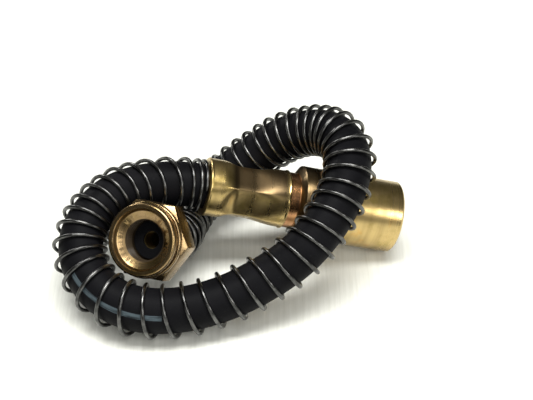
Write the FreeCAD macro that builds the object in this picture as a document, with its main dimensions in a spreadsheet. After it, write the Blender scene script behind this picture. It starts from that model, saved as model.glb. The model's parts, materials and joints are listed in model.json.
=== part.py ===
import FreeCAD, Part
import math
import os
import re
import Sketcher
from FreeCAD import Placement, Rotation, Vector

# A short rubber hose inside a full-length wire spring guard. End A is a crimped brass tail with a
# round female socket, end B a barbed brass tail with a hexagonal swivel nut. The hose lies in one
# loose loop: end A rests across the run into end B, and the rising run rests across end A.
# Millimetres, +Z up, resting on z = 0.

doc = FreeCAD.newDocument("spring_guarded_hose")
sheet = doc.addObject("Spreadsheet::Sheet", "dims")

DIMS = [
    # hose, from the bore outwards, and how far it reaches into end A and stops short of end B
    ("hose_bore", 6.35), ("liner_od", 9.5), ("braid_od", 10.3), ("cover_od", 13.4),
    ("hose_grip", 22.0), ("hose_setback", 1.0),
    # spring guard: inside and outside of the coil, and its gap to the nut
    ("spring_id", 14.0), ("spring_od", 16.4), ("spring_gap", 0.3),
    # barbed tails
    ("tail_bore", 4.8), ("barb_peak", 7.2), ("barb_pitch", 3.5), ("tail_nose", 1.5),
    # end A, heights from the sleeve's lip: crimp sleeve
    ("sleeve_od", 18.0), ("sleeve_to", 25.4), ("sleeve_wall", 22.2), ("sleeve_bevel", 0.5),
    ("crimp_flats", 14.7), ("crimp_from", 8.0), ("crimp_to", 17.6), ("crimp_lead", 2.2),
    ("crimp_fade", 14.0),
    # end A: tail collar and spigot
    ("neck_od", 9.2), ("collar_od", 17.0), ("collar_to", 28.3), ("spigot_od", 12.0), ("spigot_to", 33.0),
    # end A: socket
    ("socket_od", 22.0), ("step_od", 18.0), ("step_to", 29.6), ("socket_to", 61.0), ("socket_edge", 0.6),
    ("socket_way", 10.0), ("socket_tap", 15.2), ("socket_seat", 44.7), ("socket_lead", 0.9),
    ("socket_relief", 16.0), ("seal_to", 46.2),
    # end B, heights from the nut's back face: swivel nut
    ("nut_flats", 22.0), ("nut_corners", 25.4), ("nut_bevel", 0.7), ("hex_to", 5.4), ("bead_from", 6.3),
    ("bead_od", 22.6), ("bead_to", 8.2), ("bead_round", 0.5), ("groove_od", 20.8),
    ("nose_from", 8.8), ("nose_od", 21.6), ("nose_rim", 0.8), ("nut_to", 11.0), ("nut_tap", 11.86),
    ("rim_id", 18.4), ("cone_od", 17.0), ("cone_to", 9.5), ("cone_from", 8.5), ("nut_relief", 12.6),
    ("nut_wall", 1.7), ("nut_eye", 9.7),
    # end B: tail, and the washer on its head
    ("shank_od", 9.6), ("head_od", 11.0), ("head_from", 1.8), ("head_to", 3.2), ("tail_b", 13.0),
    ("washer_id", 5.2), ("washer_to", 4.0),
    # the two ends: centre of end A's lip, centre of end B's back face, and how each one points
    ("a_x", -17.0), ("a_y", 7.9), ("a_z", 27.25), ("a_yaw", 6.5), ("a_tilt", -16.0), ("a_roll", 50.0),
    ("b_x", -30.3), ("b_y", -9.8), ("b_z", 20.6), ("b_yaw", -117.0), ("b_tilt", 35.0), ("b_roll", 36.0),
    # straight lead out of each end, and how much of a run each bend takes
    ("lead_a", 7.3), ("lead_b", 12.0), ("bend_share", 0.45),
]
for row, (alias, value) in enumerate(DIMS, start=1):
    sheet.set("A%d" % row, alias)
    sheet.set("B%d" % row, str(value))
    sheet.setAlias("B%d" % row, alias)
doc.recompute()


def bound(text):
    return re.sub(r"[a-z][a-z_]*", lambda word: "dims." + word.group(), text)


def size(text):
    return float(sheet.evalExpression(bound(text)))


def own_feature(body, role):
    return next(feature for feature in body.Origin.OriginFeatures if feature.Role == role)


def new_sketch(body, name):
    sketch = body.newObject("Sketcher::SketchObject", name)
    sketch.AttachmentSupport = [(own_feature(body, "XZ_Plane"), "")]
    sketch.MapMode = "FlatFace"
    return sketch


def hold(sketch, *what, text=None):
    # a sketch constraint, driven by the sheet when it has a text
    number = sketch.addConstraint(Sketcher.Constraint(*what) if text is None
                                  else Sketcher.Constraint(*what, size(text)))
    if text is not None:
        sketch.setExpression("Constraints[%d]" % number, bound(text))


def place_corner(sketch, edge, end, across, up):
    hold(sketch, "DistanceX", -1, 1, edge, end, text=across)
    if up == "0":
        hold(sketch, "PointOnObject", edge, end, -1)
    else:
        hold(sketch, "DistanceY", -1, 1, edge, end, text=up)


def turned(name, corners):
    # a body turned about its own Z axis; corners are (diameter, height) texts in order
    body = doc.addObject("PartDesign::Body", name)
    sketch = new_sketch(body, name + "_profile")
    at = [Vector(size(across) / 2, size(up), 0) for across, up in corners]
    for k in range(len(at)):
        sketch.addGeometry(Part.LineSegment(at[k], at[(k + 1) % len(at)]))
    for k, (across, up) in enumerate(corners):
        hold(sketch, "Coincident", k, 2, (k + 1) % len(at), 1)
        place_corner(sketch, k, 1, "(" + across + ") / 2", up)
    doc.recompute()
    turn = body.newObject("PartDesign::Revolution", name + "_turned")
    turn.Profile = sketch
    turn.ReferenceAxis = (sketch, ["V_Axis"])
    turn.Angle = 360
    doc.recompute()
    return body


def round_rings(body, rings, radius):
    # fillets on the turned edges at the given (diameter, height) texts
    base = body.Tip
    wanted = [(size(across) / 2, size(up)) for across, up in rings]
    names = []
    for number, edge in enumerate(base.Shape.Edges, start=1):
        if isinstance(edge.Curve, Part.Circle):
            for r, z in wanted:
                if abs(edge.Curve.Radius - r) < 0.01 and abs(edge.Curve.Center.z - z) < 0.01:
                    names.append("Edge%d" % number)
    fillet = body.newObject("PartDesign::Fillet", body.Name + "_" + radius)
    fillet.Base = (base, names)
    fillet.setExpression("Radius", bound(radius))
    doc.recompute()


def six_times(body, sketch, name):
    # the sketch cut right across the body, on six sides of its axis
    cut = body.newObject("PartDesign::Pocket", name + "_cut")
    cut.Profile = sketch
    cut.SideType = "Symmetric"
    cut.Length = 60
    doc.recompute()
    turn = body.newObject("PartDesign::PolarPattern", name + "_six")
    turn.Originals = [cut]
    turn.Axis = (own_feature(body, "Z_Axis"), [""])
    turn.Angle = 360
    turn.Occurrences = 6
    body.Tip = turn
    doc.recompute()


def hexagon(body, name, flats, low, high, reach):
    sketch = new_sketch(body, name)
    corners = [(flats, low), (reach, low), (reach, high), (flats, high)]
    at = [Vector(size(across) / 2, size(up), 0) for across, up in corners]
    for k in range(4):
        sketch.addGeometry(Part.LineSegment(at[k], at[(k + 1) % 4]))
    for k, (across, up) in enumerate(corners):
        hold(sketch, "Coincident", k, 2, (k + 1) % 4, 1)
        place_corner(sketch, k, 1, "(" + across + ") / 2", up)
    doc.recompute()
    six_times(body, sketch, name)


def crimp(body, name):
    # a pressed flat with a round run-in at the lip side and a long fade towards the other end
    sketch = new_sketch(body, name)
    flat, out = size("crimp_flats / 2"), size("sleeve_od / 2 + 0.5")
    ends = {}
    for side, height, radius in ((-1, "crimp_from", "crimp_lead"), (1, "crimp_to", "crimp_fade")):
        r = size(radius)
        centre = Vector(flat + r, size(height), 0)
        turn = math.acos((r - out + flat) / r)
        ends[side] = [centre + Vector(-r * math.cos(a), side * r * math.sin(a), 0)
                      for a in (0, turn / 2, turn)]
    low, high = ends[-1], ends[1]
    sketch.addGeometry(Part.LineSegment(low[0], high[0]))
    sketch.addGeometry(Part.Arc(high[0], high[1], high[2]))
    sketch.addGeometry(Part.LineSegment(high[2], low[2]))
    sketch.addGeometry(Part.Arc(low[2], low[1], low[0]))

    def end_at(edge, spot):
        return 1 if (sketch.getPoint(edge, 1) - spot).Length < 1e-6 else 2

    hold(sketch, "Tangent", 0, 2, 1, end_at(1, high[0]))
    hold(sketch, "Coincident", 1, end_at(1, high[2]), 2, 1)
    hold(sketch, "Coincident", 2, 2, 3, end_at(3, low[2]))
    hold(sketch, "Tangent", 3, end_at(3, low[0]), 0, 1)
    place_corner(sketch, 0, 1, "crimp_flats / 2", "crimp_from")
    place_corner(sketch, 0, 2, "crimp_flats / 2", "crimp_to")
    hold(sketch, "Radius", 1, text="crimp_fade")
    hold(sketch, "Radius", 3, text="crimp_lead")
    hold(sketch, "DistanceX", -1, 1, 2, 1, text="sleeve_od / 2 + 0.5")
    hold(sketch, "DistanceX", -1, 1, 2, 2, text="sleeve_od / 2 + 0.5")
    doc.recompute()
    six_times(body, sketch, name)


def barbs(tip, count):
    # corners of a tail's barbs, from its tip at the given height towards its head
    rows = []
    for k in range(count):
        foot = tip + " + tail_nose + barb_pitch * %d" % k
        rows += [("hose_bore", foot), ("barb_peak", foot + " + barb_pitch * 0.75"),
                 ("hose_bore", foot + " + barb_pitch * 0.8")]
    return rows


# end A: sleeve, tail, socket and its sealing washer, heights from the sleeve's lip

sleeve = turned("crimp_sleeve_a", [
    ("cover_od", "0"), ("sleeve_od - 2 * sleeve_bevel", "0"), ("sleeve_od", "sleeve_bevel"),
    ("sleeve_od", "sleeve_to"), ("neck_od", "sleeve_to"), ("neck_od", "sleeve_wall"),
    ("cover_od", "sleeve_wall")])
crimp(sleeve, "crimp")

tail_a = turned("barbed_tail_a", [
    ("tail_bore", "tail_nose"), ("hose_bore - 0.6", "tail_nose")]
    + barbs("tail_nose", 5) + [
    ("hose_bore", "hose_grip"), ("neck_od", "hose_grip"), ("neck_od", "sleeve_to"),
    ("collar_od", "sleeve_to"), ("collar_od", "collar_to"), ("spigot_od", "collar_to"),
    ("spigot_od", "spigot_to"), ("tail_bore", "spigot_to")])

socket = turned("socket_a", [
    ("spigot_od", "collar_to"), ("step_od", "collar_to"), ("socket_od", "step_to"),
    ("socket_od", "socket_to - socket_edge"), ("socket_od - 2 * socket_edge", "socket_to"),
    ("socket_tap + 2 * socket_lead", "socket_to"), ("socket_tap", "socket_to - socket_lead"),
    ("socket_tap", "seal_to"), ("socket_relief", "seal_to"), ("socket_relief", "socket_seat"),
    ("socket_way", "socket_seat"), ("socket_way", "spigot_to"), ("spigot_od", "spigot_to")])

seal = turned("seal_washer_a", [
    ("socket_way", "socket_seat"), ("socket_tap", "socket_seat"), ("socket_tap", "seal_to"),
    ("socket_way", "seal_to")])

# end B: nut, with heights from its back face; tail and washer, with heights from the tail's tip

nut = turned("swivel_nut_b", [
    ("nut_eye", "0"), ("nut_corners - 2 * nut_bevel", "0"), ("nut_corners", "nut_bevel * 0.6"),
    ("nut_corners", "hex_to"), ("bead_od - 1.2", "bead_from"), ("bead_od", "bead_from"),
    ("bead_od", "bead_to"), ("groove_od", "bead_to"), ("groove_od", "nose_from"),
    ("nose_od", "nose_from"), ("nose_od", "nut_to"), ("rim_id", "nut_to"), ("cone_od", "cone_to"),
    ("nut_tap", "cone_from"), ("nut_tap", "washer_to"), ("nut_relief", "washer_to"),
    ("nut_relief", "nut_wall"), ("nut_eye", "nut_wall")])
round_rings(nut, [("bead_od", "bead_from"), ("bead_od", "bead_to")], "bead_round")
round_rings(nut, [("nose_od", "nut_to")], "nose_rim")
hexagon(nut, "nut_hex", "nut_flats", "0", "bead_from", "nut_corners + 4")

tail_b = turned("barbed_tail_b", [
    ("tail_bore", "0"), ("hose_bore - 0.6", "0")]
    + barbs("0", 3) + [
    ("hose_bore", "tail_b - hose_setback"), ("shank_od", "tail_b - hose_setback"),
    ("shank_od", "tail_b + head_from"), ("head_od", "tail_b + head_from"),
    ("head_od", "tail_b + head_to"), ("tail_bore", "tail_b + head_to")])

washer = turned("seat_washer_b", [
    ("washer_id", "tail_b + head_to"), ("head_od", "tail_b + head_to"),
    ("head_od", "tail_b + washer_to"), ("washer_id", "tail_b + washer_to")])


# the ends in place: each end's own Z runs out of its mouth

def direction(end):
    yaw, tilt = (math.radians(size(end + word)) for word in ("_yaw", "_tilt"))
    return Vector(math.cos(tilt) * math.cos(yaw), math.cos(tilt) * math.sin(yaw), math.sin(tilt))


def origin(end):
    return Vector(*(size(end + word) for word in ("_x", "_y", "_z")))


def set_in_place(body, end, behind=0.0):
    out = direction(end)
    across = Vector(0, 0, 1).cross(out)
    facing = Rotation(across, Vector(), out, "ZXY") * Rotation(Vector(0, 0, 1), size(end + "_roll"))
    body.Placement = Placement(origin(end) - out * behind, facing)


for body in (sleeve, tail_a, socket, seal):
    set_in_place(body, "a")
set_in_place(nut, "b")
for body in (tail_b, washer):
    set_in_place(body, "b", size("tail_b"))
doc.recompute()

# the hose's lie between the two leads
LIE = [
    (-34.2, 7.7, 28.1), (-44.3, 5.8, 25.8), (-51.8, -2.4, 22.6), (-53.9, -12.3, 18.2),
    (-48.6, -23, 13.3), (-38.5, -29.1, 10.2), (-25.4, -29.1, 9), (-11.4, -25.2, 10), (1.1, -20.6, 14.1),
    (12.6, -16.1, 20.5), (21.6, -7.6, 28.5), (27.1, 3.9, 34.5), (26.8, 19, 35.5), (20.5, 30.1, 33.1),
    (10.1, 35.3, 28), (-0.9, 33.7, 21.3), (-11.6, 30, 14.2), (-20.6, 22.4, 10.2), (-24.6, 10.6, 10.2),
]
out_a, out_b = direction("a"), direction("b")
ROUTE = ([origin("a"), origin("a") - out_a * size("lead_a")] + [Vector(*point) for point in LIE]
         + [origin("b") - out_b * size("lead_b"), origin("b")])


def bent(points, longer, shorter):
    # straight runs joined by tangent arcs, grown or cut back along the first and last run
    runs = [(b - a) for a, b in zip(points, points[1:])]
    ways = [Vector(run).normalize() for run in runs]
    here, edges, radii = points[0] - ways[0] * longer, [], []
    for k in range(1, len(points) - 1):
        turn = ways[k - 1].getAngle(ways[k])
        reach = size("bend_share") * min(runs[k - 1].Length, runs[k].Length)
        radius = reach / math.tan(turn / 2)
        start, end = points[k] - ways[k - 1] * reach, points[k] + ways[k] * reach
        inward = (ways[k] - ways[k - 1]).normalize()
        top = points[k] + inward * radius * (1 / math.cos(turn / 2) - 1)
        edges += [Part.LineSegment(here, start).toShape(), Part.Arc(start, top, end).toShape()]
        here = end
        radii.append(radius)
    edges.append(Part.LineSegment(here, points[-1] - ways[-1] * shorter).toShape())
    return Part.Wire(edges), radii


def layer(name, inner, outer, longer, shorter, cut_by=()):
    # one tube of the hose or its guard along the route
    wire, radii = bent(ROUTE, longer, shorter)
    start = wire.Edges[0].Vertexes[0].Point
    way = (ROUTE[1] - ROUTE[0]).normalize()
    rings = [Part.Wire(Part.Circle(start, way, size(text) / 2).toShape()) for text in (outer, inner)]
    skins = [wire.makePipeShell([ring], True, False) for ring in rings]
    solid = skins[0].cut(skins[1])
    section = math.pi / 4 * (size(outer) ** 2 - size(inner) ** 2)
    print("%-14s length %.1f, volume %.0f, section x length %.0f" % (
        name, wire.Length, solid.Volume, section * wire.Length))
    for tool in cut_by:
        solid = solid.cut(tool.Shape)
    piece = doc.addObject("Part::Feature", name)
    piece.Shape = solid.Solids[0] if len(solid.Solids) == 1 else solid
    return piece, radii


grip, setback, gap = size("hose_grip"), size("hose_setback"), size("spring_gap")
liner, radii = layer("hose_liner", "hose_bore", "liner_od", grip, setback, cut_by=(tail_a, tail_b))
braid, _ = layer("hose_braid", "liner_od", "braid_od", grip, setback)
cover, _ = layer("hose_cover", "braid_od", "cover_od", grip, setback)
guard, _ = layer("spring_guard", "spring_id", "spring_od", 0.0, gap)
print("bend radii", [round(radius, 1) for radius in radii])

PIECES = [liner, braid, cover, guard, sleeve, tail_a, socket, seal, nut, tail_b, washer]
doc.recompute()
for item in doc.Objects:
    assert not {"Invalid", "Error"} & set(item.State), (item.Name, item.State)
os.makedirs("parts", exist_ok=True)
for piece in PIECES:
    assert not piece.Shape.isNull() and piece.Shape.isValid(), piece.Name
    assert len(piece.Shape.Solids) == 1, (piece.Name, len(piece.Shape.Solids))
    piece.Label = piece.Name
    piece.Shape.exportStep("parts/%s.step" % piece.Name)
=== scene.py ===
import bpy
import bmesh
import json
import math
import random
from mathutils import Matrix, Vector


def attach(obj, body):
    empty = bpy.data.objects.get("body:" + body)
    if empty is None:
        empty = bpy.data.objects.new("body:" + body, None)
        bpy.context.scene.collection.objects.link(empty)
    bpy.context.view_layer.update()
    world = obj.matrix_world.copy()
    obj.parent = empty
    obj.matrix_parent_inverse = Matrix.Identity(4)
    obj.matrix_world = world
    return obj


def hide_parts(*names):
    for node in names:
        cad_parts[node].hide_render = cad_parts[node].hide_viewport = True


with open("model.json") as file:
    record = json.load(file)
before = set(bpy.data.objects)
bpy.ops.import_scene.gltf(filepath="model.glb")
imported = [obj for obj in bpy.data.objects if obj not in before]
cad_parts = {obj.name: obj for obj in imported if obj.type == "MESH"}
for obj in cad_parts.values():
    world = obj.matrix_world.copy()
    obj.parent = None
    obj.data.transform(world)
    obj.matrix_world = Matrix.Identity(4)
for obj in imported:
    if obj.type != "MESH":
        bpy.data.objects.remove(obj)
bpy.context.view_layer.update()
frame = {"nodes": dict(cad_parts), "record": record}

MM = 0.001
TAU = 2 * math.pi
scene = bpy.context.scene
nodes = frame["nodes"]
mounts = {m["name"]: m for m in frame["record"]["mounts"]}


# The two ends: end A's heights run from the crimp sleeve's lip, end B's from the swivel nut's back face.

class End:
    def __init__(self, mount, height):
        self.out = Vector(mounts[mount]["axis"]).normalized()
        self.origin = Vector(mounts[mount]["pos_m"]) - self.out * height * MM
        self.across = Vector((0, 0, 1)).cross(self.out).normalized()
        self.up = self.out.cross(self.across)

    def at(self, height, radius=0.0, angle=0.0):
        side = self.across * math.cos(angle) + self.up * math.sin(angle)
        return self.origin + (self.out * height + side * radius) * MM


END_A = End("socket_thread", height=53.15)
END_B = End("nut_thread", height=6.25)

# ---------------------------------------------------------------- camera

camera_data = bpy.data.cameras.new("camera")
camera_data.sensor_width = 36
camera_data.lens = 101.85
camera_data.clip_start = 0.01
camera = bpy.data.objects.new("camera", camera_data)
camera.location = (0.00195, -0.3581, 0.2978)
camera.rotation_euler = (math.radians(53), 0, 0)
scene.collection.objects.link(camera)
scene.camera = camera

# ---------------------------------------------------------------- the hose's route

# The part's source has the same points. They were placed over the photo, then scripts shifted them
# across the picture and in depth, to clear the nut, and some were adjusted again.
LIE = [
    (-34.2, 7.7, 28.1), (-44.3, 5.8, 25.8), (-51.8, -2.4, 22.6), (-53.9, -12.3, 18.2),
    (-48.6, -23, 13.3), (-38.5, -29.1, 10.2), (-25.4, -29.1, 9), (-11.4, -25.2, 10), (1.1, -20.6, 14.1),
    (12.6, -16.1, 20.5), (21.6, -7.6, 28.5), (27.1, 3.9, 34.5), (26.8, 19, 35.5), (20.5, 30.1, 33.1),
    (10.1, 35.3, 28), (-0.9, 33.7, 21.3), (-11.6, 30, 14.2), (-20.6, 22.4, 10.2), (-24.6, 10.6, 10.2),
]
LEAD_A, LEAD_B = 7.3, 12.0
ROUTE = ([END_A.at(0), END_A.at(-LEAD_A)] + [Vector(point) * MM for point in LIE]
         + [END_B.at(-LEAD_B), END_B.at(0)])

route_data = bpy.data.curves.new("route", "CURVE")
route_data.dimensions = "3D"
route_data.resolution_u = 24
spline = route_data.splines.new("NURBS")
spline.points.add(len(ROUTE) - 1)
for point, place in zip(spline.points, ROUTE):
    point.co = (*place, 1)
spline.order_u = 3
spline.use_endpoint_u = True
route = bpy.data.objects.new("route", route_data)
scene.collection.objects.link(route)
line_mesh = bpy.data.meshes.new_from_object(route)
line = [vertex.co.copy() for vertex in line_mesh.vertices]
bpy.data.meshes.remove(line_mesh)
bpy.data.objects.remove(route)


class Path:
    # the route by arc length, with a frame carried along it without twist
    def __init__(self, points):
        self.points = points
        self.far = [0.0]
        for a, b in zip(points, points[1:]):
            self.far.append(self.far[-1] + (b - a).length)
        self.length = self.far[-1]
        self.ways = [(points[min(k + 1, len(points) - 1)] - points[max(k - 1, 0)]).normalized()
                     for k in range(len(points))]
        side = Vector((0, 0, 1))
        self.sides = []
        for way in self.ways:
            side = (side - way * side.dot(way)).normalized()
            self.sides.append(side)
        self.here = 0

    def at(self, s):
        if s <= 0 or s >= self.length:
            k, part = (0, 0.0) if s <= 0 else (len(self.points) - 2, 1.0)
            spare = s if s <= 0 else s - self.length
        else:
            while self.here and self.far[self.here] > s:
                self.here -= 1
            while self.far[self.here + 1] < s:
                self.here += 1
            k, spare = self.here, 0.0
            part = (s - self.far[k]) / (self.far[k + 1] - self.far[k])
        way = self.ways[k].lerp(self.ways[k + 1], part).normalized()
        side = self.sides[k].lerp(self.sides[k + 1], part)
        side = (side - way * side.dot(way)).normalized()
        return self.points[k].lerp(self.points[k + 1], part) + way * spare, way, side, way.cross(side)

    def bend(self, s):
        # curvature as a vector towards the inside of the bend
        step = 4 * MM
        low, high = max(s - step, 0), min(s + step, self.length)
        return (self.at(high)[1] - self.at(low)[1]) / (high - low)


path = Path(line)


# ---------------------------------------------------------------- mesh helpers

def new_object(name, verts, faces, smooth=True, attributes=None):
    mesh = bpy.data.meshes.new(name)
    mesh.from_pydata([tuple(v) for v in verts], [], faces)
    mesh.validate()
    for key, values in (attributes or {}).items():
        layer = mesh.attributes.new(key, "FLOAT_VECTOR", "POINT")
        layer.data.foreach_set("vector", [x for value in values for x in value])
    mesh.polygons.foreach_set("use_smooth", [smooth] * len(mesh.polygons))
    mesh.update()
    piece = bpy.data.objects.new(name, mesh)
    scene.collection.objects.link(piece)
    return piece


def skin(rings, closed_ends=False, loop=False):
    # quads between rings of equal count; loop joins the last ring to the first
    count = len(rings[0])
    verts = [v for ring in rings for v in ring]
    faces = []
    for k in range(len(rings) - (0 if loop else 1)):
        a, b = k * count, (k + 1) % len(rings) * count
        for j in range(count):
            n = (j + 1) % count
            faces.append((a + j, a + n, b + n, b + j))
    if closed_ends:
        faces.append(tuple(reversed(range(count))))
        faces.append(tuple(range(len(verts) - count, len(verts))))
    return verts, faces


def shade_by_angle(piece, degrees):
    piece.data.polygons.foreach_set("use_smooth", [True] * len(piece.data.polygons))
    with bpy.context.temp_override(object=piece, active_object=piece, selected_objects=[piece],
                                   selected_editable_objects=[piece]):
        bpy.ops.object.shade_smooth_by_angle(angle=math.radians(degrees))


def apply_modifiers(piece):
    graph = bpy.context.evaluated_depsgraph_get()
    mesh = bpy.data.meshes.new_from_object(piece.evaluated_get(graph))
    piece.modifiers.clear()
    piece.data = mesh


# ---------------------------------------------------------------- materials

def material(name):
    made = bpy.data.materials.new(name)
    made.use_nodes = True
    tree = made.node_tree
    return made, tree, tree.nodes["Principled BSDF"]


def add(tree, kind, inputs=None, **settings):
    node = tree.nodes.new(kind)
    for key, value in settings.items():
        setattr(node, key, value)
    for key, value in (inputs or {}).items():
        if isinstance(value, bpy.types.NodeSocket):
            tree.links.new(value, node.inputs[key])
        else:
            node.inputs[key].default_value = value
    return node


def sums(tree, operation, *values):
    return add(tree, "ShaderNodeMath", dict(enumerate(values)), operation=operation).outputs[0]


def vector_sums(tree, operation, *values, output=0):
    return add(tree, "ShaderNodeVectorMath", dict(enumerate(values)), operation=operation).outputs[output]


def mix(tree, share, first, second, blend="MIX"):
    return add(tree, "ShaderNodeMixRGB", {0: share, 1: first, 2: second}, blend_type=blend).outputs[0]


def bump(tree, shader, height, depth, strength):
    # depth in millimetres
    node = add(tree, "ShaderNodeBump", {"Strength": strength, "Distance": depth * MM, "Height": height})
    tree.links.new(node.outputs[0], shader.inputs["Normal"])


def ramp(tree, value, stops):
    # stops are (place, colour), or (place, number) for a grey
    node = add(tree, "ShaderNodeValToRGB", {0: value})
    while len(node.color_ramp.elements) < len(stops):
        node.color_ramp.elements.new(0.5)
    for element, (place, colour) in zip(node.color_ramp.elements, stops):
        element.position = place
        element.color = (*colour, 1) if isinstance(colour, tuple) else (colour, colour, colour, 1)
    return node.outputs[0]


def noise(tree, vector, scale, detail=4.0, rough=0.55):
    return add(tree, "ShaderNodeTexNoise", {"Vector": vector, "Scale": scale, "Detail": detail,
                                            "Roughness": rough}).outputs[0]


def axis_places(tree, end, place):
    # how far along an end's axis a place is, and the vector to it from the axis, in metres
    away = vector_sums(tree, "SUBTRACT", place, tuple(end.origin))
    along = vector_sums(tree, "DOT_PRODUCT", away, tuple(end.out), output=1)
    on_axis = add(tree, "ShaderNodeVectorMath", {0: tuple(end.out), "Scale": along},
                  operation="SCALE").outputs[0]
    return along, vector_sums(tree, "SUBTRACT", away, on_axis)


def painted_shade_share(tree, along, side, low, high, facing):
    # how much painted shade, up to its most, lies between two heights in millimetres, fading out at both,
    # all round or only on the side that faces a way
    def risen(gap):
        return sums(tree, "DIVIDE", gap, PAINTED_SHADE_FADE)

    start = risen(sums(tree, "SUBTRACT", along, low * MM))
    stop = risen(sums(tree, "SUBTRACT", high * MM, along))
    share = add(tree, "ShaderNodeClamp", {0: sums(tree, "MINIMUM", start, stop)}).outputs[0]
    if facing:
        towards = vector_sums(tree, "DOT_PRODUCT", vector_sums(tree, "NORMALIZE", side), facing, output=1)
        share = sums(tree, "MULTIPLY", share, ramp(tree, towards, [(0.72, 0.0), (0.9, 1.0)]))
    return sums(tree, "MULTIPLY", share, PAINTED_SHADE_MOST)


# painted shade: a brown laid over the brass where it mirrors dark things around it
PAINTED_SHADE_FADE = 1.5 * MM
PAINTED_SHADE_MOST = 0.88
PAINTED_SHADE_BROWN = (0.09, 0.06, 0.035, 1)
# painted shade inside the nut's bore, which is dark and dull there
BORE_PAINTED_SHADE = (0.035, 0.025, 0.015, 1)


def brass(name, end, tone, groove, groove_depth, smooth, grain=0.12, bore=None, painted_shade_band=None):
    # turned brass: grooves run round the end's axis, the finish is fine and a little stained;
    # bore=(radius, height) is where the inside is dull and darkened by painted shade, and the last
    # argument, (low, high, side), is a stretch of the outside browned by painted shade
    made, tree, shader = material(name)
    place = add(tree, "ShaderNodeTexCoord").outputs["Object"]
    along, side = axis_places(tree, end, place)
    reach = vector_sums(tree, "LENGTH", side, output=1)
    lines = add(tree, "ShaderNodeCombineXYZ", {0: along, 1: reach}).outputs[0]
    fine = noise(tree, lines, groove, 2.0, 0.7)
    broad = noise(tree, lines, groove * 0.23, 3.0, 0.6)
    stain = noise(tree, place, 160.0, 5.0, 0.6)
    speck = noise(tree, place, 900.0, 2.0, 0.5)
    red, green, blue = tone
    dark = (red * 0.72, green * 0.72, blue * 0.55)
    warm = (red * 1.04, green * 0.9, blue * 0.72)
    base = ramp(tree, stain, [(0.32, dark), (0.5, tone), (0.6, tone), (0.74, warm)])
    worn = ramp(tree, broad, [(0.3, (0.62, 0.6, 0.56)), (0.55, (1, 1, 1))])
    colour = mix(tree, 0.5, base, worn, "MULTIPLY")
    shader.inputs["Metallic"].default_value = 1.0
    # painted shade: a stretch browned where the brass mirrors something dark
    if painted_shade_band:
        colour = mix(tree, painted_shade_share(tree, along, side, *painted_shade_band), colour, PAINTED_SHADE_BROWN)
    # painted shade: the inside of the bore is darkened and its shine taken away
    if bore:
        inside = sums(tree, "MULTIPLY", sums(tree, "LESS_THAN", reach, bore[0] * MM),
                      sums(tree, "LESS_THAN", along, bore[1] * MM))
        colour = mix(tree, inside, colour, BORE_PAINTED_SHADE)
        tree.links.new(sums(tree, "SUBTRACT", 1.0, inside), shader.inputs["Metallic"])
        shader.inputs["Specular IOR Level"].default_value = 0.08
    tree.links.new(colour, shader.inputs["Base Color"])
    tree.links.new(ramp(tree, broad, [(0.25, smooth + 0.07), (0.7, smooth)]), shader.inputs["Roughness"])
    height = sums(tree, "ADD", fine, sums(tree, "MULTIPLY", speck, grain))
    bump(tree, shader, height, groove_depth, 1.0)
    return made


def wire_steel():
    # drawn wire: fine lines along it, patchy grey
    made, tree, shader = material("spring_wire")
    lay = add(tree, "ShaderNodeAttribute", attribute_name="lay").outputs["Vector"]
    place = add(tree, "ShaderNodeTexCoord").outputs["Object"]
    drawn = noise(tree, vector_sums(tree, "MULTIPLY", lay, (2.2, 2.2, 40.0)), 1.0, 4.0, 0.6)
    stain = noise(tree, place, 420.0, 4.0, 0.6)
    base = ramp(tree, stain, [(0.3, 0.035), (0.5, (0.085, 0.085, 0.084)), (0.75, (0.16, 0.16, 0.156))])
    tree.links.new(base, shader.inputs["Base Color"])
    shader.inputs["Metallic"].default_value = 1.0
    tree.links.new(ramp(tree, drawn, [(0.3, 0.38), (0.65, 0.24)]), shader.inputs["Roughness"])
    bump(tree, shader, drawn, 0.03, 0.35)
    return made


STRIPE_AT = math.radians(14)       # where the stripe runs round the hose
STRIPE_HALF = 0.115                # its half width, as a share of the hose's radius
STRIPE_FROM, STRIPE_TO = 58 * MM, 84 * MM
STRIPE_BLUE = (0.075, 0.1, 0.115, 1)
DUST_GREY = (0.05, 0.052, 0.055, 1)


def stripe_share(tree, lay):
    # a thin bluish-grey stripe along one side of a stretch; lay holds a place's direction and station
    way = (math.cos(STRIPE_AT), math.sin(STRIPE_AT), 0)
    across = (-math.sin(STRIPE_AT), math.cos(STRIPE_AT), 0)
    aside = vector_sums(tree, "DOT_PRODUCT", lay, across, output=1)
    share = sums(tree, "LESS_THAN", sums(tree, "ABSOLUTE", aside), STRIPE_HALF)
    front = vector_sums(tree, "DOT_PRODUCT", lay, way, output=1)
    station = add(tree, "ShaderNodeSeparateXYZ", {0: lay}).outputs[2]
    for value, test, edge in ((front, "GREATER_THAN", 0.0), (station, "GREATER_THAN", STRIPE_FROM),
                              (station, "LESS_THAN", STRIPE_TO)):
        share = sums(tree, "MULTIPLY", share, sums(tree, test, value, edge))
    patches = noise(tree, vector_sums(tree, "MULTIPLY", lay, (9.0, 9.0, 160.0)), 1.0, 5.0, 0.7)
    return sums(tree, "MULTIPLY", share, ramp(tree, patches, [(0.36, 0.12), (0.56, 0.85)]))


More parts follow.
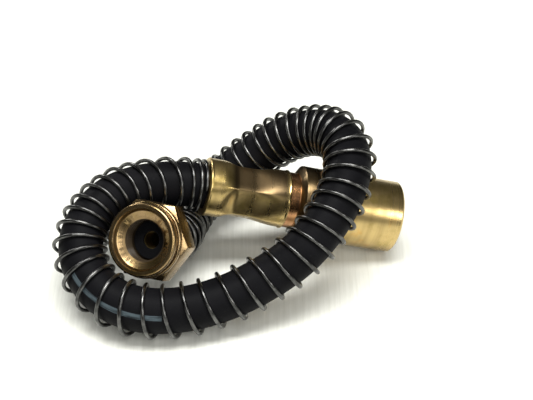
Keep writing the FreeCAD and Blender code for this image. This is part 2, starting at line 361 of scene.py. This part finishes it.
def hose_rubber():
    # black extruded rubber with a little dust
    made, tree, shader = material("hose_rubber")
    lay = add(tree, "ShaderNodeAttribute", attribute_name="lay").outputs["Vector"]
    place = add(tree, "ShaderNodeTexCoord").outputs["Object"]
    extruded = noise(tree, vector_sums(tree, "MULTIPLY", lay, (26.0, 26.0, 18.0)), 1.0, 3.0, 0.6)
    scuff = noise(tree, place, 1500.0, 3.0, 0.6)
    cloud = noise(tree, place, 90.0, 4.0, 0.6)
    base = ramp(tree, cloud, [(0.3, (0.0035, 0.0035, 0.0042)), (0.7, (0.0065, 0.0065, 0.0078))])
    dust = sums(tree, "MULTIPLY", ramp(tree, scuff, [(0.66, 0.0), (0.74, 1.0)]), 0.15)
    colour = mix(tree, stripe_share(tree, lay), mix(tree, dust, base, DUST_GREY), STRIPE_BLUE)
    tree.links.new(colour, shader.inputs["Base Color"])
    tree.links.new(ramp(tree, cloud, [(0.3, 0.46), (0.7, 0.6)]), shader.inputs["Roughness"])
    shader.inputs["IOR"].default_value = 1.3
    shader.inputs["Specular IOR Level"].default_value = 0.09
    bump(tree, shader, sums(tree, "ADD", extruded, sums(tree, "MULTIPLY", scuff, 0.3)), 0.05, 0.5)
    return made


def fibre(name, colour, shine=0.5):
    # pressed washer board
    made, tree, shader = material(name)
    place = add(tree, "ShaderNodeTexCoord").outputs["Object"]
    felt = noise(tree, place, 2500.0, 5.0, 0.65)
    shade = tuple(x * 0.6 for x in colour)
    tree.links.new(ramp(tree, felt, [(0.35, shade), (0.65, colour)]), shader.inputs["Base Color"])
    shader.inputs["Roughness"].default_value = 0.75
    shader.inputs["Specular IOR Level"].default_value = shine
    bump(tree, shader, felt, 0.05, 0.6)
    return made


# ---------------------------------------------------------------- hose and spring

HOSE_R, HOSE_BORE_R = 6.7 * MM, 3.175 * MM
HOSE_IN_A = 3.0 * MM       # how far the hose is drawn inside end A's sleeve
HOSE_SHORT_OF_B = 1.0 * MM
WIRE_R, COIL_R = 0.6 * MM, 7.6 * MM
COIL_INSET = 0.62          # of the wire's middle at both ends of the coil, in millimetres
COIL_GAP = 0.05            # the last turn ends at least this far short of that, in millimetres
WANDER_ALONG = 0.2         # how far the turns stray along the hose, in millimetres
WANDER_OUT = 0.12          # and towards or away from it
WANDER_EASE = 6            # the stretch at each end over which the straying dies out, in millimetres
TIGHT = 45.0               # curvature, per metre, at which a bend counts as tight
SLACK = 0.25 * MM          # how far the hose shifts inside its coil at a tight bend
FLATTENED = 0.12 * MM      # how much thinner the hose gets across a tight bend, each side
HELD = 14 * MM             # the stretch at each end that the fitting keeps round and central

# (station, pitch) in millimetres along the hose from end A: the coil is shut at both fittings and opens
# between them. Stations 6 to 210 hold a least-squares fit to the turns that the photo shows, rounded, with
# the ones from 24 to 46 opened a little; the others were set one by one.
PITCH = [
    (0, 1.25), (3, 2.2), (6, 5.0), (12, 6.05), (18, 4.95), (24, 3.85), (30, 3.5), (38, 3.32),
    (46, 4.1), (54, 5.25), (62, 5.85), (70, 5.8), (80, 5.95), (90, 6.25), (100, 6.2), (110, 5.8),
    (120, 5.65), (130, 5.3), (140, 4.75), (150, 4.85), (160, 5.9), (170, 5.95), (178, 4.0),
    (184, 2.9), (192, 3.3), (200, 3.7), (210, 3.9), (225, 4.0), (250, 4.2), (262, 4.0), (267, 2.4),
    (272, 1.35),
]
COIL_START = math.radians(-67)

# The loose turns lean: how far back towards end A the side that faces front and up lies, in millimetres.
# Most values are a script's, from the slant of the turns in the photo, smoothed.
LEAN = [
    (0, 0), (4, 0.9), (8, 3.0), (12, 4.8), (17, 5.2), (21, 4.8), (26, 3.6), (30, 2.0), (35, 0.4),
    (42, -1.3), (50, -1.5), (57, -0.9), (65, 0.2), (74, 1.1), (82, 1.4), (92, 1.8), (100, 1.3),
    (108, 0.5), (116, -0.3), (130, -0.7), (145, -0.6), (153, 0.8), (160, 2.3), (170, 3.7), (178, 2.4),
    (186, 1.2), (193, 0), (200, -1.6), (212, -2.8), (225, -2.8), (245, -1.5), (262, 0), (272, 0),
]
LEAN_SIDE = Vector((0, -0.8, 0.6))


def between(table, x):
    for (x0, y0), (x1, y1) in zip(table, table[1:]):
        if x <= x1:
            return y0 + (y1 - y0) * (x - x0) / (x1 - x0)
    return table[-1][1]


def round_section(count):
    return [(math.cos(TAU * j / count), math.sin(TAU * j / count)) for j in range(count)]


def hose_tube():
    step, section = 1.1 * MM, round_section(56)
    start, end = -HOSE_IN_A, path.length - HOSE_SHORT_OF_B
    rows = int((end - start) / step) + 1
    outer, inner, lay_rows = [], [], []
    for k in range(rows):
        s = start + (end - start) * k / (rows - 1)
        centre, way, side, up = path.at(s)
        bend = path.bend(s)
        free = min(1.0, max(0.0, s / HELD), max(0.0, (path.length - s) / HELD))
        tight = min(1.0, bend.length / TIGHT) * free
        inward = bend.normalized() if bend.length > 1e-6 else side
        centre = centre + inward * tight * SLACK
        rays = [side * c + up * z for c, z in section]
        outer.append([centre + ray * (HOSE_R - FLATTENED * tight * (2 * ray.dot(inward) ** 2 - 1))
                      for ray in rays])
        inner.append([centre + ray * HOSE_BORE_R for ray in rays])
        lay_rows.append([(c, z, s) for c, z in section])
    verts, faces = skin(outer + inner[::-1], loop=True)
    lay = [value for row in lay_rows + lay_rows[::-1] for value in row]
    return new_object("hose", verts, faces, attributes={"lay": lay})


def wandering(count, seed):
    # a smooth random function of the turn, between -1 and 1
    rng = random.Random(seed)
    wobble = [rng.uniform(-1, 1) for _ in range(count)]

    def at(turn):
        k = int(turn) % (count - 1)
        part = turn - int(turn)
        part = part * part * (3 - 2 * part)
        return wobble[k] * (1 - part) + wobble[k + 1] * part

    return at


def spring_coil():
    per_turn, section = 30, round_section(12)
    total = path.length / MM
    wander = wandering(80, seed=7)

    # walk the coil in equal steps of angle, by the pitch at each place
    s, angle, spots = COIL_INSET, 0.0, []
    while s < total - COIL_INSET - COIL_GAP:
        spots.append((s, angle))
        angle += TAU / per_turn
        s += between(PITCH, s) / per_turn
    spine = []
    for s, angle in spots:
        turns = angle / TAU
        loose = min(1.0, s / WANDER_EASE, (total - s) / WANDER_EASE)
        centre, way, side, up = path.at((s + wander(turns) * WANDER_ALONG * loose) * MM)
        phase = COIL_START + angle
        out = side * math.cos(phase) + up * math.sin(phase)
        front = (LEAN_SIDE - way * LEAN_SIDE.dot(way)).normalized()
        lean = between(LEAN, s) * MM * out.dot(front)
        radius = COIL_R + wander(turns + 30) * WANDER_OUT * MM * loose
        spine.append(centre + out * radius - way * lean)
    rings, lay = [], []
    for k, ((s, angle), place) in enumerate(zip(spots, spine)):
        ahead = (spine[min(k + 1, len(spine) - 1)] - spine[max(k - 1, 0)]).normalized()
        out = place - path.at(s * MM)[0]
        out = (out - ahead * out.dot(ahead)).normalized()
        flat = ahead.cross(out)
        rings.append([place + (out * c + flat * z) * WIRE_R for c, z in section])
        lay += [(c, z, angle * COIL_R) for c, z in section]
    verts, faces = skin(rings, closed_ends=True)
    wire = sum((b - a).length for a, b in zip(spine, spine[1:]))
    print("coil turns %.1f, wire %.2f m" % (spots[-1][1] / TAU, wire))
    return new_object("spring", verts, faces, attributes={"lay": lay})


hose = hose_tube()
hose.data.materials.append(hose_rubber())
spring = spring_coil()
spring.data.materials.append(wire_steel())
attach(hose, "hose")
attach(spring, "hose")
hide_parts("hose_liner", "hose_braid", "hose_cover")
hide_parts("spring_guard")
STEPS = 300
centreline = [path.at(path.length * k / STEPS)[0] for k in range(STEPS + 1)]

# ---------------------------------------------------------------- end A: the pressed sleeve

SLEEVE_R, SLEEVE_BORE_R, SLEEVE_NECK_R = 9.0, 6.71, 4.6
SLEEVE_TO, SLEEVE_WALL = 25.4, 22.2
FLAT_R = 7.35                                  # from the axis to the middle of a pressed flat
PRESS_FROM, PRESS_FULL, PRESS_RUN_IN = 4.2, 9.4, 5.2
PRESS_END, PRESS_FADE = 24.4, 10.5
CRIMP_TURN = math.radians(50)
CREASE = 1.3                                   # how widely two flats blend


def soft_min(a, b, width):
    h = max(width - abs(a - b), 0.0) / width
    return min(a, b) - h * h * width * 0.25


def crimp_depth(height):
    if height < PRESS_FULL:
        t = (height - PRESS_FROM) / PRESS_RUN_IN
    else:
        t = (PRESS_END - height) / PRESS_FADE
    t = min(1.0, max(0.0, t))
    return (SLEEVE_R - FLAT_R) * t * t * (3 - 2 * t)


def pressed_radius(height, angle):
    near = (angle - CRIMP_TURN + TAU / 12) % (TAU / 6) - TAU / 12
    flat = (SLEEVE_R - crimp_depth(height)) / math.cos(near)
    return soft_min(SLEEVE_R, flat, CREASE)


def pressed_sleeve():
    # rings of one count, so that the pressed stretch can leave the round
    angles = [TAU * j / 288 for j in range(288)]
    lip = [(7.9, 0.0), (8.25, 0.03), (8.6, 0.14), (8.85, 0.33), (8.98, 0.6)]
    pressed = [0.9 + (24.7 - 0.9) * k / 118 for k in range(119)]       # heights of the pressed rings
    tail = [(SLEEVE_R, 24.9), (8.96, 25.15), (8.82, 25.32), (8.6, SLEEVE_TO)]
    inside = [(SLEEVE_NECK_R, SLEEVE_TO), (SLEEVE_NECK_R, SLEEVE_WALL), (SLEEVE_BORE_R, SLEEVE_WALL),
              (SLEEVE_BORE_R, 0.35), (6.85, 0.12), (7.1, 0.02), (7.5, 0.0)]

    def round_ring(radius, height):
        return [END_A.at(height, radius, angle) for angle in angles]

    rings = [round_ring(*corner) for corner in lip]
    rings += [[END_A.at(height, pressed_radius(height, angle), angle) for angle in angles]
              for height in pressed]
    rings += [round_ring(*corner) for corner in tail + inside]
    verts, faces = skin(rings, loop=True)
    return new_object("crimp_sleeve", verts, faces)


sleeve = pressed_sleeve()
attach(sleeve, "hose")
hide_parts("crimp_sleeve_a")


# ---------------------------------------------------------------- threads cut in the CAD solids

THREAD_PITCH = 1.337


def tap(name, end, low, high, core, crest):
    # a closed right-handed screw form, a little smaller than the bore between its crests
    count, per_pitch = 120, 12
    rows = int((high - low) / THREAD_PITCH * per_pitch) + 1
    rings = []
    for k in range(rows):
        height = low + THREAD_PITCH * k / per_pitch
        ring = []
        for j in range(count):
            angle = TAU * j / count
            wave = (height / THREAD_PITCH - angle / TAU) % 1.0
            tooth = (0.5 - abs(wave - 0.5)) * 2
            rise = min(1.0, max(0.0, tooth * 1.25 - 0.1))      # flat at the root and at the crest
            ring.append(end.at(height, core + (crest - core) * rise, angle))
        rings.append(ring)
    verts, faces = skin(rings, closed_ends=True)
    return new_object(name, verts, faces, smooth=False)


EDGE = 0.12 * MM           # bevel on every sharp edge


def threaded_copy(name, node, end, low, high, core, crest):
    # a CAD piece with softened edges and a thread cut into its bore, heights and radii in millimetres
    piece = bpy.data.objects.new(name, nodes[node].data.copy())
    scene.collection.objects.link(piece)
    form = bmesh.new()
    form.from_mesh(piece.data)
    bmesh.ops.remove_doubles(form, verts=form.verts, dist=1e-6)
    bmesh.ops.dissolve_limit(form, angle_limit=math.radians(0.5), verts=form.verts, edges=form.edges)
    form.to_mesh(piece.data)
    form.free()
    piece.data.materials.clear()
    bevel = piece.modifiers.new("edges", "BEVEL")
    bevel.width = EDGE
    bevel.segments = 2
    bevel.limit_method = "ANGLE"
    bevel.angle_limit = math.radians(28)
    bevel.use_clamp_overlap = True
    cutter = tap(name + "_tap", end, low, high, core, crest)
    cut = piece.modifiers.new("thread", "BOOLEAN")
    cut.operation = "DIFFERENCE"
    cut.solver = "EXACT"
    cut.object = cutter
    apply_modifiers(piece)
    bpy.data.objects.remove(cutter)
    shade_by_angle(piece, 30)
    apply_modifiers(piece)
    return piece


nut = threaded_copy("swivel_nut", "swivel_nut_b", END_B, low=3.9, high=9.2, core=5.9, crest=6.55)
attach(nut, "nut")
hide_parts("swivel_nut_b")
socket = threaded_copy("socket", "socket_a", END_A, low=46.0, high=60.7, core=7.56, crest=8.3)
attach(socket, "hose")
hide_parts("socket_a")

# ---------------------------------------------------------------- finishes

# the nut's brass is a darker copy of the same brass: painted shade for the shadowed table that it mirrors
BRASS, NUT_BRASS_PAINTED_SHADE, COPPERED = (0.54, 0.40, 0.175), (0.31, 0.215, 0.11), (0.52, 0.27, 0.13)
UPPER_FLAT = CRIMP_TURN + TAU / 6
flat_way = tuple(END_A.across * math.cos(UPPER_FLAT) + END_A.up * math.sin(UPPER_FLAT))
# painted shade: on the sleeve's upper pressed flat for the dark room it mirrors, and on the socket just
# past the collar for the black hose above it
brass_sleeve = brass("brass_sleeve", END_A, BRASS, groove=1500.0, groove_depth=0.006, smooth=0.26,
                     painted_shade_band=(6.5, 25.0, flat_way))
brass_socket = brass("brass_socket", END_A, BRASS, groove=2600.0, groove_depth=0.022, smooth=0.26,
                     painted_shade_band=(27.0, 36.0, None))
brass_collar = brass("brass_collar", END_A, COPPERED, groove=3000.0, groove_depth=0.030, smooth=0.22)
brass_nut = brass("brass_nut", END_B, NUT_BRASS_PAINTED_SHADE, groove=1800.0, groove_depth=0.014, smooth=0.24,
                  grain=0.17, bore=(6.9, 8.6))
brass_tail = brass("brass_tail", END_B, BRASS, groove=2200.0, groove_depth=0.02, smooth=0.28)
sleeve.data.materials.append(brass_sleeve)
nut.data.materials.append(brass_nut)
socket.data.materials.append(brass_socket)
for name, finish in (("barbed_tail_a", brass_collar), ("barbed_tail_b", brass_tail),
                     ("seal_washer_a", fibre("fibre_red", (0.32, 0.1, 0.07))),
                     # the seat washer is near black and without shine: painted shade deep in the nut's
                     # bore
                     ("seat_washer_b", fibre("fibre_dark_painted_shade", (0.006, 0.006, 0.007), shine=0.04))):
    nodes[name].data.materials.clear()
    nodes[name].data.materials.append(finish)

# ---------------------------------------------------------------- table and light

def table_top():
    # pale cloth with faint streaks of weave
    made, tree, shader = material("table_top")
    place = add(tree, "ShaderNodeTexCoord").outputs["Object"]
    turned_way = add(tree, "ShaderNodeMapping", {"Vector": place, "Rotation": (0, 0, math.radians(8)),
                                                 "Scale": (900.0, 38.0, 1.0)}).outputs[0]
    streaks = noise(tree, turned_way, 1.0, 4.0, 0.6)
    tree.links.new(ramp(tree, streaks, [(0.3, (0.77, 0.78, 0.725)), (0.65, (0.88, 0.89, 0.84))]),
                   shader.inputs["Base Color"])
    shader.inputs["Roughness"].default_value = 0.5
    shader.inputs["Specular IOR Level"].default_value = 0.3
    bump(tree, shader, streaks, 0.1, 0.25)
    return made


half = 3.0
floor = new_object("table", [(-half, -half, 0), (half, -half, 0), (half, half, 0), (-half, half, 0)],
                   [(0, 1, 2, 3)], smooth=False)
floor.data.materials.append(table_top())


def area_light(name, place, aim, size, power, colour=(1, 1, 1), tall=None):
    data = bpy.data.lights.new(name, "AREA")
    data.shape = "RECTANGLE"
    data.size = size
    data.size_y = tall or size
    data.energy = power
    data.color = colour
    lamp = bpy.data.objects.new(name, data)
    lamp.location = place
    lamp.rotation_euler = (Vector(aim) - Vector(place)).to_track_quat("-Z", "Y").to_euler()
    scene.collection.objects.link(lamp)


area_light("overhead", (0.0, -0.10, 0.89), (0, 0, 0), 0.7, 11.5, (1.0, 0.995, 0.97), tall=0.3)
area_light("front_top", (0.11, -0.68, 0.65), (0, 0, 0.02), 0.34, 3.6, (1.0, 0.99, 0.95), tall=0.7)
area_light("front_window", (0.80, -0.58, 0.46), (0, 0, 0.02), 0.28, 3.0, (1.0, 0.98, 0.94))
area_light("back_window", (-0.60, 0.75, 0.50), (0, 0, 0.015), 0.25, 3.0, (1.0, 0.99, 0.96))

world = bpy.data.worlds.new("room")
world.use_nodes = True
world.node_tree.nodes["Background"].inputs["Color"].default_value = (0.92, 0.92, 0.84, 1)
world.node_tree.nodes["Background"].inputs["Strength"].default_value = 0.08
scene.world = world
scene.view_settings.view_transform = "Standard"

tuple(END_A.at(0))
